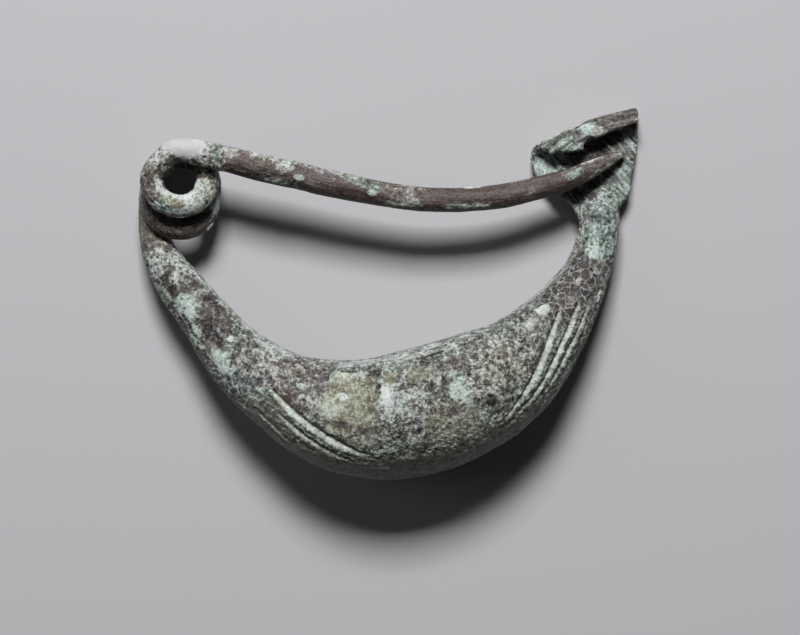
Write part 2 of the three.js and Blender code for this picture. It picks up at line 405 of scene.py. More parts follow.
def bendSheet(along, across, lift, rollStart):
    radius = catchPlate["rollRadius"]
    angle = np.clip((across - rollStart) / radius, 0, math.pi)
    beyond = np.maximum(0, across - rollStart - math.pi * radius)
    reach = np.minimum(across, rollStart) - beyond + (radius - lift) * np.sin(angle)
    height = radius - (radius - lift) * np.cos(angle)
    cos, sin = math.cos(catchPlate["turn"]), math.sin(catchPlate["turn"])
    return np.stack([along * cos - reach * sin, along * sin + reach * cos, height], -1)


def makePlate():
    plate = catchPlate
    u, v, lift = np.meshgrid(
        np.linspace(0, 1, plate["across"] + 1), np.linspace(0, 1, plate["outward"] + 1),
        np.array([-0.5, 0.5]) * plate["thickness"], indexing="ij")
    steps = np.linspace(0, 1, plate["outward"] + 1) * (len(plate["leftEdge"]) - 1)
    left, right = (catmullRom(plate[edge], steps)[None, :, None, :] for edge in ("leftEdge", "rightEdge"))
    flat = left + (right - left) * u[..., None]
    across = flat[..., 1] + lipReachAt(u) * smoothstep(v, plate["lipFrom"], 1)
    rollStart = plate["rollStart"] + plate["rollBulge"] * np.sin(u * math.pi)
    points = bendSheet(flat[..., 0], across, lift, rollStart).reshape(-1, 3)

    index = np.arange(len(points)).reshape(u.shape)
    quads = []
    for face, turned in ((0, True), (1, False)):
        grid = index[:, :, face]
        corners = [grid[:-1, :-1], grid[1:, :-1], grid[1:, 1:], grid[:-1, 1:]]
        quads.append(np.stack(corners[::-1] if turned else corners, -1).reshape(-1, 4))
    for rim in (index[:, 0], index[-1, :], index[::-1, -1], index[::-1, ::-1][-1, :]):
        corners = [rim[:-1, 0], rim[1:, 0], rim[1:, 1], rim[:-1, 1]]
        quads.append(np.stack(corners, -1))
    mesh = newMesh("plate", points, faces=np.vstack(quads).tolist())
    setAttribute(mesh, "sheet", np.stack([flat[..., 0], across, lift], -1).reshape(-1, 3))
    return newObject("plate", mesh)


# ---- one skin over wire and plate

def pointsOf(mesh):
    points = np.empty(len(mesh.vertices) * 3, np.float32)
    mesh.vertices.foreach_get("co", points)
    return points.reshape(-1, 3).astype(float)


def fuse(*shells):
    # the shells joined and remade as one closed surface
    copies = [newObject("shell", each.data.copy()) for each in shells]
    bpy.ops.object.select_all(action="DESELECT")
    for each in copies:
        each.select_set(True)
    bpy.context.view_layer.objects.active = copies[0]
    bpy.ops.object.join()
    joined = copies[0]
    remesh = joined.modifiers.new("remesh", "REMESH")
    remesh.mode = "VOXEL"
    remesh.voxel_size = skin["voxel"]
    ease = joined.modifiers.new("ease", "SMOOTH")
    ease.factor = 0.5
    ease.iterations = skin["smoothing"]
    mesh = plainMesh(joined)
    discard(joined)
    return newObject("skin", mesh)


def noise(tree, place, scale, detail=2.0, roughness=0.5, seed=0.0, kind="FBM"):
    # about 0 to 1, with features of roughly 1 / scale
    node = addNode(tree, "ShaderNodeTexNoise", {
        "Vector": place, "Scale": scale, "Detail": detail, "Roughness": roughness, "W": seed,
    }, noise_dimensions="4D", noise_type=kind)
    return Flow(tree, node.outputs["Fac"])


def surveyTree(material):
    # writes on the skin where each of its points sits along and round the wire, or on the sheet
    tree, shell, given = newTree("survey", Wire="Object", Sheet="Object", Seed="Float")
    place = Flow(tree, addNode(tree, "GeometryNodeInputPosition").outputs[0])
    gaps = []
    for source, names in (("Wire", ("station", "straight", "around")), ("Sheet", ("sheet",))):
        body = addNode(tree, "GeometryNodeObjectInfo", {"Object": given[source]}).outputs["Geometry"]
        near = addNode(tree, "GeometryNodeProximity", {"Target": body}, target_element="FACES")
        gaps.append(Flow(tree, near.outputs["Distance"]))
        for name in names:
            kind = "FLOAT" if name == "station" else "FLOAT_VECTOR"
            picked = addNode(tree, "GeometryNodeSampleNearestSurface", data_type=kind)
            plug(tree, picked.inputs["Mesh"], body)
            plug(tree, next(s for s in picked.inputs if s.name == "Value" and s.enabled), named(tree, name, kind))
            plug(tree, picked.inputs["Sample Position"], place)
            shell = store(tree, shell, name, picked.outputs["Value"], kind)
    shell = store(tree, shell, "spot", place, "FLOAT_VECTOR")
    shell = store(tree, shell, "onSheet", gaps[0].maths("GREATER_THAN", gaps[1]))
    for name, scale, detail in (("ragged", 0.7, 5.0), ("grain", 2.2, 3.0)):
        shell = store(tree, shell, name, noise(tree, place, scale, detail, 0.6, given["Seed"]))
    endTree(tree, shell, material)
    return tree


def layDown(mesh):
    # tilts the brooch onto the table, centres it and wears flats where it touches
    points = pointsOf(mesh)
    cos, sin = math.cos(lying["tilt"]), math.sin(lying["tilt"])
    turned = points @ np.array([[1, 0, 0], [0, cos, sin], [0, -sin, cos]])
    low, high = turned.min(0), turned.max(0)
    turned -= [(low[0] + high[0]) / 2, (low[1] + high[1]) / 2, low[2] + lying["wornFlat"]]
    turned[:, 2] = np.maximum(turned[:, 2], 0)
    mesh.vertices.foreach_set("co", (turned / 1000).astype(np.float32).ravel())
    mesh.update()


def spread(value):
    # noise stretched to fill 0 to 1
    return (value - 0.5) * 2.4 + 0.5


# ---- grooves, as lines lying on the bow

grooves = {
    # from and to: station and degrees from the outer edge towards the face; then width, depth and shine, the strength
    # of the painted highlight and painted shade on the groove's walls
    "cuts": [
        (5.1, 77, 7.05, 43, 1.0, 0.36, 1.0),
        (5.4, 55, 6.75, 34, 0.75, 0.3, 0.6),
        (5.0, 38, 5.9, 27, 0.6, 0.25, 0.5),
        (11.46, 94, 9.4, 43, 0.95, 0.36, 0.9),
        (11.86, 73, 9.6, 38, 0.8, 0.35, 0.9),
        (11.95, 52, 9.9, 33, 0.7, 0.3, 0.6),
        (12.5, 40, 12.1, 36, 0.5, 0.2, 0.3),
        (6.92, 42, 7.28, 37, 0.4, 0.08, 0.4),
        (8.66, 57, 8.66, 12, 0.6, 0.08, 0.2),
        (8.96, 66, 8.96, 20, 0.35, 0.08, 0.2),
        (7.9, 72, 7.9, 60, 0.35, 0.08, 0.2),
        (7.36, 27, 7.36, -20, 0.35, 0.08, 0.2),
        (5.98, 131, 8.0, 127, 0.4, 0.12, 0.0),
        (8.0, 127, 10.0, 131, 0.4, 0.12, 0.0),
    ],
    "spacing": 0.08,
    "endCut": 0.25,                # radians of a half turn by which each end stops short
    "steepSide": (-0.35, 1, 0),    # roughly where the steep wall of every groove lies
    "steepness": 1.9,              # of that wall, against the other one
}


def placeOnBow(station, degrees):
    # where a station and an angle lie on the surface of the bow
    rows = np.array(bow["stations"])
    values = catmullRom(rows, station, open=True)
    along = catmullRom(rows, station + 0.005, open=True)[:, :3] - catmullRom(rows, station - 0.005, open=True)[:, :3]
    side = np.cross(along, [0, 0, 1])
    side /= np.linalg.norm(side, axis=1)[:, None]
    up = np.cross(side, along)
    up /= np.linalg.norm(up, axis=1)[:, None]
    cos, sin = np.cos(np.radians(degrees)), np.sin(np.radians(degrees))
    lost = smoothstep(values[:, 3], bow["roundUpTo"], bow["flatAbove"]) * (1 - bow["flatRise"])
    inward = np.maximum(0, -cos - bow["flatFrom"]) * lost
    inmost = (1 - bow["flatFrom"]) * lost
    outward = (cos + inward + 1 - inmost) / (2 - inmost) * 2 - 1
    return values[:, :3] + side * (outward * values[:, 3])[:, None] + up * (sin * values[:, 4])[:, None]


def makeGrooveLines():
    points, links, across, wide, deep, shine = [], [], [], [], [], []
    for start, startTurn, stop, stopTurn, width, depth, bright in grooves["cuts"]:
        for face in (1, -1):
            ends = placeOnBow(np.array([start, stop]), np.array([startTurn, stopTurn]) * face)
            count = int(np.linalg.norm(ends[1] - ends[0]) * 1.15 / grooves["spacing"]) + 2
            f = np.linspace(0, 1, count)
            line = placeOnBow(start + (stop - start) * f, (startTurn + (stopTurn - startTurn) * f) * face)
            middle = catmullRom(np.array(bow["stations"]), start + (stop - start) * f, open=True)[:, :3]
            steep = np.cross(np.gradient(line, axis=0), line - middle)
            steep *= np.sign(steep @ grooves["steepSide"])[:, None]
            cut = grooves["endCut"]
            fullness = np.sin(cut + (math.pi - 2 * cut) * f) ** 0.5
            first = len(points)
            points.extend(line)
            links.extend((first + i, first + i + 1) for i in range(count - 1))
            across.extend(steep / np.linalg.norm(steep, axis=1)[:, None])
            wide.extend(width * fullness)
            deep.extend(depth * fullness)
            shine.extend(bright * fullness)
    mesh = newMesh("grooveLines", points, links)
    for name, values in (("across", across), ("wide", wide), ("deep", deep), ("shine", shine)):
        setAttribute(mesh, name, np.array(values))
    return newObject("grooveLines", mesh)




# ---- where the patina differs from place to place

# Each finish is a share, 0 to 1, of: pale crust, dark hollows, olive, green and copper tint,
# how calm its surface is, a raised net of veins, and how far it stands up from the metal.
finishes = {
    "arm":     {"pale": 0.46, "dark": 0.30, "olive": 0.12, "green": 0.38, "copper": 0.05, "calm": 0.05},
    "crust":   {"pale": 0.72, "dark": 0.25, "green": 0.15, "calm": 0.05, "raise": 0.5},
    "rim":     {"pale": 0.66, "dark": 0.38, "green": 0.20, "calm": 0.00, "stripe": 0.7, "raise": 0.3},
    "white":   {"pale": 1.08, "dark": 0.12, "green": 0.08, "calm": 0.30, "raise": 0.8},
    "mint":    {"pale": 0.86, "dark": 0.20, "green": 0.60, "calm": 0.25, "raise": 0.6},
    "purple":  {"pale": 0.47, "dark": 0.32, "calm": 0.15},
    "plum":    {"pale": 0.26, "dark": 0.25, "calm": 0.40},
    "dark":    {"pale": 0.12, "dark": 0.60, "calm": 0.25, "raise": -0.4},
    "granule": {"pale": 0.52, "dark": 0.36, "olive": 0.20, "calm": 0.10},
    "crystal": {"pale": 0.58, "dark": 0.55, "calm": 0.00},
    "olive":   {"pale": 0.46, "dark": 0.15, "olive": 1.00, "green": 0.05, "calm": 0.50},
    "cream":   {"pale": 0.76, "dark": 0.12, "olive": 0.80, "green": 0.15, "calm": 0.50},
    # deep: the striated lower outer side of the bow; its darker tone is partly painted shade where that side faces away
    # from the light
    "deep":    {"pale": 0.34, "dark": 0.25, "olive": 0.60, "green": 0.25, "calm": 0.55, "stripe": 0.7},
    "rust":    {"pale": 0.34, "dark": 0.30, "olive": 0.35, "copper": 0.60, "calm": 0.40},
    "net":     {"pale": 0.05, "dark": 0.30, "net": 1.00, "calm": 0.40},
    "pink":    {"pale": 0.72, "dark": 0.05, "copper": 0.30, "calm": 0.65, "raise": 0.2},
    "slab":    {"pale": 1.00, "dark": 0.00, "calm": 1.00, "raise": 0.8},
    "copper":  {"pale": 0.30, "dark": 0.16, "copper": 1.00, "calm": 0.60, "stripe": 0.7},
    "shade":   {"pale": 0.24, "dark": 0.40, "olive": 0.15, "copper": 0.35, "calm": 0.45, "stripe": 0.7},
    "verdi":   {"pale": 0.56, "dark": 0.32, "green": 0.75, "calm": 0.05, "stripe": 0.4, "raise": 0.2},
    "brushed": {"pale": 0.46, "dark": 0.30, "green": 0.45, "calm": 0.05, "stripe": 1.0},
    "pitted":  {"pale": 0.82, "dark": 0.36, "olive": 0.85, "green": 0.30, "calm": 0.10, "raise": 0.9},
}

patina = {
    "bow": "arm", "coil": "granule", "pin": "copper", "sheet": "brushed",
    # on the wire: station, degrees round it, reach along and around in mm, finish, strength
    "wire": [
        # spring end of the bow
        (0.0, 60, 5.0, 3.4, "deep", 0.9), (0.7, 112, 3.2, 2.2, "rust", 0.9), (1.45, 92, 3.6, 2.8, "crust", 0.8),
        (1.6, 88, 1.0, 0.9, "plum", 1.0), (1.75, 60, 1.1, 0.8, "dark", 0.9), (2.1, 62, 1.0, 0.8, "dark", 0.8),
        (2.4, 120, 3.4, 2.2, "purple", 0.9), (2.25, 88, 1.3, 1.0, "plum", 1.0), (2.6, 71, 2.3, 1.9, "mint", 1.0),
        (2.85, 125, 2.0, 1.0, "dark", 0.8), (3.2, 100, 3.6, 2.6, "plum", 0.8), (3.4, 80, 2.8, 2.4, "dark", 0.75),
        (3.7, 56, 2.2, 1.3, "deep", 0.9), (3.5, 100, 1.8, 1.0, "rust", 0.7), (3.55, 93, 1.7, 0.5, "crust", 0.9),
        (3.75, 100, 0.8, 0.6, "white", 1.0), (3.15, 52, 1.3, 0.7, "mint", 0.9), (4.0, 56, 2.2, 1.4, "mint", 0.8),
        (4.7, 60, 3.0, 2.4, "verdi", 0.8), (4.8, 105, 6.0, 3.6, "purple", 0.85), (4.35, 90, 1.0, 0.4, "crust", 0.9),
        (2.2, 162, 7.0, 1.4, "rim", 0.9), (4.0, 165, 8.0, 1.7, "rim", 0.9), (4.65, 140, 3.8, 2.6, "crust", 1.0),
        # belly, spring side
        (5.5, 107, 5.5, 4.5, "purple", 0.9), (5.55, 80, 3.6, 1.4, "rust", 0.8), (5.55, 97, 0.8, 0.5, "mint", 1.0),
        (5.3, 40, 5.0, 3.5, "deep", 0.6),
        (6.62, 91, 5.2, 5.6, "olive", 1.0), (5.95, 110, 0.9, 2.2, "plum", 0.9), (6.55, 121, 3.2, 0.9, "cream", 0.9),
        (6.2, 84, 2.4, 1.6, "cream", 0.8), (5.75, 83, 1.1, 0.9, "crust", 0.9), (5.75, 83, 0.5, 0.35, "plum", 1.0),
        (6.45, 97.5, 1.05, 0.8, "crystal", 0.6), (6.45, 97.5, 0.95, 0.7, "white", 0.85), (6.55, 70, 1.6, 0.7, "plum", 0.9), (7.0, 67, 1.6, 0.8, "plum", 0.8),
        (6.85, 57, 2.6, 1.2, "olive", 0.7),
        # belly, middle
        (7.75, 92, 3.0, 3.4, "crust", 0.6), (7.36, 97, 0.9, 2.8, "white", 0.9), (7.42, 82, 0.7, 2.0, "crust", 0.9),
        (7.2, 108, 0.55, 0.4, "dark", 1.0), (7.25, 120, 0.5, 0.35, "dark", 1.0), (7.8, 103, 2.0, 0.5, "plum", 0.9),
        (7.5, 114, 1.3, 1.1, "olive", 0.9), (8.15, 113, 3.2, 1.4, "olive", 0.8), (7.75, 65, 2.2, 1.7, "purple", 0.9),
        (8.4, 100, 2.3, 0.9, "crystal", 0.9), (8.42, 58, 4.6, 4.4, "olive", 0.75), (8.5, 71, 1.0, 0.8, "plum", 1.0),
        (8.2, 84, 2.2, 1.4, "granule", 0.8), (8.78, 86, 1.7, 2.2, "mint", 1.0),
        # the lower outer side of the belly: striated, and darker partly as painted shade
        (7.6, 12, 24.0, 5.2, "deep", 0.85),
        # belly, catch-plate side
        (9.7, 93, 6.5, 4.6, "granule", 0.9), (8.95, 112, 2.8, 1.5, "plum", 0.7), (9.7, 118, 3.5, 1.2, "purple", 0.8),
        (9.2, 65, 1.0, 0.9, "dark", 0.9), (9.15, 76, 1.4, 0.8, "crust", 0.7), (10.4, 98, 1.6, 1.4, "crystal", 0.7),
        # inner side, with a thin crack under its crust
        (7.8, 143, 18.0, 2.2, "rim", 0.95), (6.4, 150, 6.0, 1.1, "crust", 0.5), (7.2, 125, 1.5, 0.3, "dark", 0.9), (6.5, 127, 2.2, 0.25, "dark", 0.9),
        (8.5, 129, 2.6, 0.3, "dark", 0.9), (9.5, 130, 2.2, 0.3, "dark", 0.8),
        # neck
        (12.0, 104, 8.0, 4.6, "net", 1.0), (12.0, 25, 8.5, 1.6, "purple", 0.8), (11.25, 112, 1.4, 1.0, "white", 0.9),
        (10.8, 108, 1.7, 1.0, "pink", 0.9), (12.3, 96, 1.3, 0.5, "pink", 0.9), (11.8, 85, 1.3, 0.8, "pink", 0.6),
        (11.8, 162, 12.0, 1.4, "rim", 0.9), (13.95, 80, 5.2, 3.6, "verdi", 1.0), (13.2, 88, 1.4, 1.6, "mint", 0.9),
        (14.2, 160, 4.5, 1.6, "purple", 0.8),
        # coil: its lower turns, then the top one
        (-7.0, 60, 9.0, 4.0, "shade", 1.0), (-11.0, 150, 9.0, 3.0, "shade", 0.9), (-5.6, 24, 1.8, 1.3, "mint", 0.8),
        (-6.1, 10, 0.6, 0.5, "white", 0.9), (-9.4, 178, 1.0, 0.8, "white", 0.9),
        (-16.9, 110, 2.2, 2.2, "rust", 0.7), (-17.8, 75, 1.5, 1.2, "crust", 0.9), (-14.0, 85, 2.6, 2.4, "pitted", 1.0),
        (-14.7, 85, 1.2, 0.9, "white", 1.0), (-15.5, 128, 5.0, 0.9, "white", 1.0), (-15.4, 88, 2.6, 1.1, "olive", 0.9), (-13.9, 100, 1.0, 0.9, "mint", 0.8),
        (-15.4, 42, 3.0, 1.3, "verdi", 0.9), (-16.4, 38, 1.6, 1.4, "shade", 0.8), (-13.4, 150, 1.0, 0.9, "white", 0.8),
        (-18.6, 140, 1.8, 1.0, "plum", 0.8), (-19.2, 75, 3.6, 2.3, "slab", 1.0), (-19.9, 75, 0.65, 2.4, "verdi", 1.0),
        (-20.25, 60, 1.4, 1.3, "pink", 1.0),
        # pin, from the coil to its point
        (-21.0, 140, 6.0, 1.4, "shade", 0.9), (-21.2, 20, 5.2, 1.6, "crust", 1.0), (-21.0, 80, 2.2, 0.9, "rust", 0.8),
        (-21.6, 70, 1.6, 1.2, "crust", 0.8), (-22.0, 108, 0.9, 0.5, "mint", 0.8), (-21.6, 150, 2.5, 0.6, "verdi", 0.6),
        (-22.9, 45, 5.5, 1.2, "crust", 0.7), (-23.6, 60, 3.4, 1.0, "verdi", 0.7), (-23.8, 108, 0.8, 0.5, "mint", 0.9),
        (-24.6, 80, 3.6, 2.4, "granule", 0.65), (-24.6, 150, 3.4, 0.9, "verdi", 0.4),
        (-26.1, 140, 3.6, 0.7, "verdi", 0.8), (-26.3, 34, 1.8, 0.3, "white", 0.8), (-27.5, 34, 2.5, 0.3, "crust", 0.6),
        (-29.0, 75, 2.1, 1.1, "verdi", 0.9), (-29.6, 38, 1.9, 0.5, "crust", 0.9), (-29.6, 98, 2.6, 0.7, "rust", 0.9),
        (-29.9, 150, 2.6, 0.6, "verdi", 0.8), (-30.3, 85, 2.6, 1.2, "pink", 0.35), (-31.2, 90, 1.6, 1.2, "granule", 0.8),
        # stray patches where it can't be seen from above
        (3.0, -80, 5.0, 4.0, "purple", 0.8), (5.6, -70, 6.0, 6.0, "crust", 0.5), (7.6, -100, 6.5, 6.0, "olive", 0.8),
        (9.4, -60, 6.0, 5.0, "purple", 0.8), (10.6, -100, 5.0, 4.0, "verdi", 0.6), (12.8, -80, 4.0, 4.0, "crust", 0.6),
    ],
    # on the sheet: along the roll, away from the neck, reach both ways in mm, finish, strength
    "sheet_": [
        (30.5, 16.6, 2.6, 2.2, "verdi", 0.6), (34.4, 15.3, 1.6, 0.8, "mint", 0.9), (31.3, 14.6, 1.0, 0.7, "rust", 0.9),
        (39.4, 14.9, 4.2, 2.4, "shade", 0.85), (36.3, 13.2, 1.2, 1.4, "rust", 0.6), (35.6, 16.4, 1.3, 0.7, "pink", 0.8),
        (27.0, 8.6, 1.6, 3.0, "mint", 0.9), (39.7, 9.4, 0.9, 0.9, "mint", 0.9), (41.3, 9.6, 0.8, 3.0, "rust", 0.7),
        (36.0, 2.6, 4.0, 3.0, "verdi", 0.5), (34.0, 9.0, 5.0, 3.5, "shade", 0.7),
    ],
}

fields = ("pale", "dark", "olive", "green", "copper", "calm", "net", "stripe", "raise")


def paint(mesh):
    # lays the finishes over each other on the skin, every one with a ragged edge
    station, straight, around = (getAttribute(mesh, name) for name in ("station", "straight", "around"))
    sheet, onSheet = getAttribute(mesh, "sheet"), getAttribute(mesh, "onSheet") > 0.5
    ragged = (getAttribute(mesh, "ragged") - 0.5) * 1.3 + (getAttribute(mesh, "grain") - 0.5) * 1.2
    angle = np.arctan2(around[:, 1], around[:, 0])
    radius = np.hypot(straight[:, 1], straight[:, 2])
    order = np.argsort(station)
    # scratches run over the sheet at a slant, and along its roll
    along, outward, lift = sheet.T
    slanted = np.column_stack([along * 0.4 - outward * 0.92, along * 0.92 + outward * 0.4, lift])
    scratched = np.where(outward[:, None] > catchPlate["rollScratches"], sheet, slanted)
    setAttribute(mesh, "straight", np.where(onSheet[:, None], scratched, straight))
    grounds = {name: [finishes[patina[part]].get(name, 0.0) for part in ("bow", "coil", "pin", "sheet")]
               for name in fields}
    coiled, pinned = station < -0.5, station < -20.2
    layers = {}
    for name, (onBow, onCoil, onPin, onPlate) in grounds.items():
        layers[name] = np.where(onSheet, onPlate, np.where(pinned, onPin, np.where(coiled, onCoil, onBow)))

    def dab(away, own, finish, strength):
        cover = smoothstep(1 - away + ragged, -0.05, 0.45) * strength * own
        for name in fields:
            layers[name] += (finishes[finish].get(name, 0.0) - layers[name]) * cover

    for place, turn, reachAlong, reachAround, finish, strength in patina["wire"]:
        middle = np.interp(place, station[order], straight[order, 0])
        turned = (angle - math.radians(turn) + math.pi) % (2 * math.pi) - math.pi
        away = np.hypot((straight[:, 0] - middle) / reachAlong, turned * radius / reachAround)
        dab(away, ~onSheet, finish, strength)
    for along, outward, reachAlong, reachAcross, finish, strength in patina["sheet_"]:
        away = np.hypot((sheet[:, 0] - along) / reachAlong, (sheet[:, 1] - outward) / reachAcross)
        dab(away, onSheet, finish, strength)
    for name, values in layers.items():
        setAttribute(mesh, name, values)


weather = {
    "waves": 0.22,       # mm, the uneven casting
    "lumps": 0.14,
    "crust": 0.12,
    "hollows": 0.12,
    "veins": 0.08,
    "lift": 0.12,
    "burr": 0.3,         # of a groove's depth, thrown up beyond its gentle wall
    "seed": 7.0,
}


def patches(tree, place, straight, field, seed):
    # how built up the surface is, how hollow, and how near to a vein
    drawn = spread(noise(tree, straight.vector("MULTIPLY", (0.3, 1.7, 1.7)), 1.0, 4.0, 0.6, seed + 3.0))
    coarse = spread(noise(tree, place, 0.9, 5.0, 0.62, seed))
    small = spread(noise(tree, place, 2.3, 4.0, 0.65, seed + 5.0))
    even = coarse * 0.45 + small * 0.55
    patchy = even + (drawn * 0.8 + small * 0.2 - even) * field["stripe"]
    build = field["pale"] + (patchy - 0.5) * (1.7 - field["calm"] * 1.4)
    build = build * 0.55 + build.between(0.2, 0.8) * 0.45
    fleck = spread(noise(tree, place, 1.5, 4.0, 0.7, seed + 11.0))
    shut = 1.0 - field["dark"]
    hollow = fleck.between(shut - 0.12, shut + 0.12)
    bend = addNode(tree, "ShaderNodeTexNoise", {"Vector": place, "Scale": 0.8, "W": seed}, noise_dimensions="4D")
    bent = place.vector("ADD", Flow(tree, bend.outputs["Color"]).vector("SCALE", 1.6))
    cells = addNode(tree, "ShaderNodeTexVoronoi", {"Vector": bent, "Scale": 0.85}, feature="DISTANCE_TO_EDGE")
    return build, hollow, Flow(tree, cells.outputs["Distance"])


def sampleLine(tree, lines, index, name, kind="FLOAT"):
    picked = addNode(tree, "GeometryNodeSampleIndex", data_type=kind, domain="POINT")
    plug(tree, picked.inputs["Geometry"], lines)
    plug(tree, next(s for s in picked.inputs if s.name == "Value" and s.enabled), named(tree, name, kind))
    plug(tree, picked.inputs["Index"], index)
    return Flow(tree, next(s for s in picked.outputs if s.enabled))


def weatherTree(material):
    # grooves, lumps, crust, hollows and veins, each moving the skin along its normal
    tree, shell, given = newTree(
        "weathered", Grooves="Object", Waves="Float", Lumps="Float", Crust="Float", Hollows="Float",
        Veins="Float", Lift="Float", Burr="Float", Seed="Float")
    place = Flow(tree, addNode(tree, "GeometryNodeInputPosition").outputs[0])
    straight = named(tree, "straight", "FLOAT_VECTOR")
    seed = given["Seed"]
    field = {name: named(tree, name) for name in fields}
    rough = 1.0 - field["calm"]
    build, hollow, veinGap = patches(tree, place, straight, field, seed)
    crusted = build.between(0.3, 0.7)
    vein = (1.0 - veinGap.between(0.02, 0.16)) * field["net"]

    # grooves: one steep wall, and a gentle one with a burr beyond it
    lines = addNode(tree, "GeometryNodeObjectInfo", {"Object": given["Grooves"]}).outputs["Geometry"]
    near = addNode(tree, "GeometryNodeProximity", {"Target": lines}, target_element="EDGES")
    nearest = addNode(tree, "GeometryNodeSampleNearest", {"Geometry": lines})
    plug(tree, nearest.inputs["Sample Position"], place)
    index = nearest.outputs[0]
    gap = Flow(tree, near.outputs["Distance"])
    offset = place.vector("SUBTRACT", Flow(tree, near.outputs["Position"]))
    aside = offset.vector("DOT_PRODUCT", sampleLine(tree, lines, index, "across", "FLOAT_VECTOR")) * -1.0
    beyond = (gap * gap - aside * aside).maths("MAXIMUM", 0.0).maths("SQRT")
    within = 1.0 - beyond.between(0.1, 0.6)
    share = aside / sampleLine(tree, lines, index, "wide")
    cut = (1.0 - share.between(0.0, 1.0)).maths("MINIMUM", 1.0 - (share * -grooves["steepness"]).between(0.0, 1.0))
    burr = share.between(0.7, 1.05) * (1.0 - share.between(1.05, 1.7)) * given["Burr"]
    grooved = sampleLine(tree, lines, index, "deep") * within * (burr - cut)
    shine = sampleLine(tree, lines, index, "shine") * within
    # painted light on the groove walls: grooveLit marks a painted highlight on the gentle wall that faces the light,
    # grooveShade painted shade on the steep wall; grooveLow is the brown strip beyond the gentle wall
    bands = {
        "grooveLit": share.between(-0.05, 0.3) * (1.0 - share.between(0.55, 1.05)) * shine,
        "grooveLow": share.between(0.85, 1.15) * (1.0 - share.between(1.3, 1.9)) * shine,
        "grooveShade": share.between(-0.8, -0.2) * (1.0 - share.between(-0.1, 0.15)) * shine,
    }

    lump = (noise(tree, place, 0.55, 4.0, 0.6, seed + 20.0) - 0.5) * rough * given["Lumps"] * 2.0
    wave = (noise(tree, place, 0.14, 2.0, 0.5, seed + 30.0) - 0.5) * given["Waves"] * 2.0
    height = (grooved + lump + wave + crusted * given["Crust"] * (rough * 0.7 + 0.3)
              - hollow * given["Hollows"] * (1.0 - crusted * 0.6) + vein * given["Veins"]
              + field["raise"] * given["Lift"])
    parts = addNode(tree, "ShaderNodeSeparateXYZ", {"Vector": straight})
    sideways, upwards = Flow(tree, parts.outputs[1]), Flow(tree, parts.outputs[2])
    slender = (sideways * sideways + upwards * upwards).between(0.1, 4.0)
    height = height * (slender * 0.6 + 0.4)
    normal = Flow(tree, addNode(tree, "GeometryNodeInputNormal").outputs[0])
    for name, value in bands.items():
        shell = store(tree, shell, name, value)
    moved = addNode(tree, "GeometryNodeSetPosition", {"Geometry": shell, "Offset": normal.vector("SCALE", height)})
    endTree(tree, moved.outputs[0], material)
    return tree


def thinOut(piece):
    # fewer triangles where the surface is plain
    triangles = sum(len(face.vertices) - 2 for face in piece.data.polygons)
    if triangles <= skin["triangles"]:
        return piece
    modifier = piece.modifiers.new("thin", "DECIMATE")
    modifier.ratio = skin["triangles"] / triangles
    mesh = plainMesh(piece)
    name = piece.name
    discard(piece)
    return newObject(name, mesh)


# ---- old bronze, from clean metal to thick crust

# how built up the surface is at each of the colours below, from a pore to the thickest crust
bronzeStops = (0.02, 0.16, 0.33, 0.48, 0.62, 0.78, 0.95)

bronzeColours = {
    "violet": [(0.013, 0.012, 0.013), (0.045, 0.037, 0.039), (0.120, 0.104, 0.108), (0.225, 0.205, 0.208),
               (0.355, 0.355, 0.352), (0.53, 0.56, 0.55), (0.70, 0.735, 0.72)],
    "brown": [(0.014, 0.011, 0.008), (0.050, 0.041, 0.032), (0.140, 0.120, 0.096), (0.245, 0.225, 0.188),
              (0.365, 0.362, 0.325), (0.53, 0.565, 0.54), (0.70, 0.735, 0.71)],
    "green": [(0.012, 0.015, 0.012), (0.035, 0.047, 0.040), (0.092, 0.122, 0.105), (0.172, 0.230, 0.200),
              (0.280, 0.375, 0.332), (0.44, 0.565, 0.515), (0.63, 0.745, 0.70)],
    "olive": [(0.018, 0.016, 0.011), (0.064, 0.058, 0.040), (0.158, 0.150, 0.102), (0.275, 0.272, 0.195),
              (0.385, 0.392, 0.305), (0.52, 0.545, 0.46), (0.66, 0.69, 0.63)],
    "copper": [(0.011, 0.009, 0.008), (0.035, 0.024, 0.021), (0.085, 0.060, 0.053), (0.150, 0.115, 0.105),
               (0.265, 0.235, 0.22), (0.46, 0.47, 0.45), (0.64, 0.67, 0.65)],
}
looseColours = {
    "slab": (0.50, 0.505, 0.515),
    "slabWorn": (0.45, 0.445, 0.45),
    "pore": (0.012, 0.011, 0.010),
    "glint": (0.62, 0.63, 0.60),
    "vein": (0.40, 0.41, 0.41),
    "paintedGrooveHighlight": (0.66, 0.70, 0.63),
    "grooveBrown": (0.075, 0.058, 0.036),
    "paintedGrooveShade": (0.03, 0.038, 0.030),
}


def mixed(tree, share, first, second, blend="MIX"):
    node = addNode(tree, "ShaderNodeMix", data_type="RGBA", blend_type=blend)
    for socket, value in ((node.inputs["Factor"], share), (node.inputs[6], first), (node.inputs[7], second)):
        if isinstance(value, tuple):
            value = (*value, 1.0)
        plug(tree, socket, value)
    return Flow(tree, node.outputs[2])


def attribute(tree, name, output="Fac"):
    return Flow(tree, addNode(tree, "ShaderNodeAttribute", attribute_name=name).outputs[output])


def ramp(tree, share, colours):
    node = addNode(tree, "ShaderNodeValToRGB", {"Fac": share})
    stops = node.color_ramp.elements
    while len(stops) < len(colours):
        stops.new(0.5)
    for stop, position, colour in zip(stops, bronzeStops, colours):
        stop.position = position
        stop.color = (*colour, 1.0)
    return Flow(tree, node.outputs[0])


